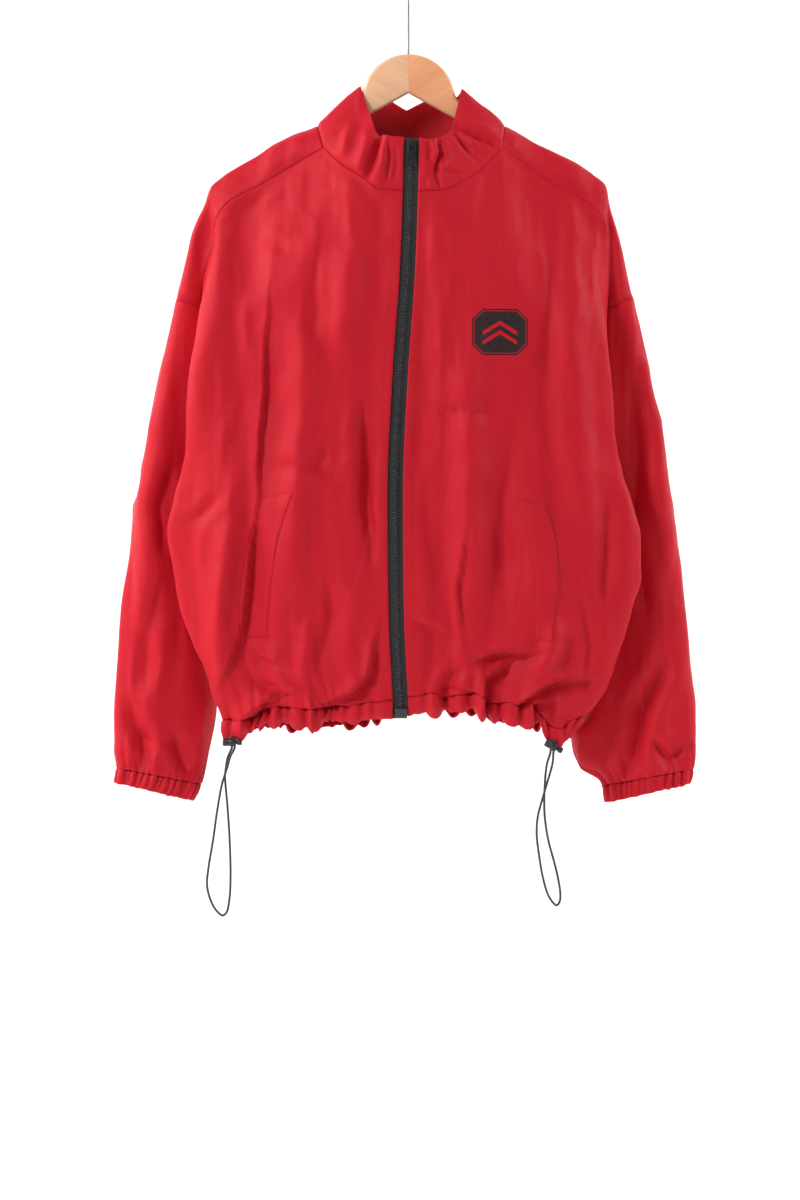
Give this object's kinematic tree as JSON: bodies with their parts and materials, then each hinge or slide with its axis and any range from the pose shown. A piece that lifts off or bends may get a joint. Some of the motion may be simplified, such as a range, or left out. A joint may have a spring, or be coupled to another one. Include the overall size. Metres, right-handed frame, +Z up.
{
  "type": "windbreaker on a wooden hanger",
  "caption": "Oversized zip-front nylon windbreaker with stand collar, welt pockets and drawcord hem, hung on a wooden hanger with a wire hook.",
  "frame": {"origin": "inner top of the hanger's wire hook, where the rail carries it", "axes": "+Z up, +X to the viewer's right seen from the front, +Y from the front to the back of the garment"},
  "size_m": [0.6215, 0.1286, 1.0402],
  "materials": {
    "nylon": "woven, soft satin",
    "zip_tape": "woven, matt",
    "zip_metal": "semi-gloss black",
    "lock_plastic": "satin black",
    "cord": "braided",
    "pale_wood": "lacquered",
    "warm_wood": "lacquered",
    "steel": "bright wire"
  },
  "bodies": {
    "jacket": {"front_left": "nylon", "front_right": "nylon", "back": "nylon", "collar": "nylon", "hem_casing": "nylon", "sleeve_left": "nylon", "sleeve_right": "nylon", "cuff_left": "nylon", "cuff_right": "nylon", "pocket_welt_left": "nylon", "pocket_welt_right": "nylon", "zip_tape_left": "zip_tape", "zip_tape_right": "zip_tape", "zip_chain": "zip_tape", "zip_slider": "zip_metal", "zip_box": "zip_metal", "cord_lock_left": "lock_plastic", "cord_lock_right": "lock_plastic", "cord_loop_left": "cord", "cord_loop_right": "cord", "hanger_wood_left": "pale_wood", "hanger_wood_right": "warm_wood", "hanger_hook": "steel"},
    "pull": {"zip_pull": "zip_metal"}
  },
  "joints": [
    {"name": "pull_hinge", "type": "hinge", "parent": "jacket", "child": "pull", "pos_m": [0.00326, -0.05265, -0.2215], "axis": [-1, 0, 0], "range_deg": [0, 170]}
  ]
}
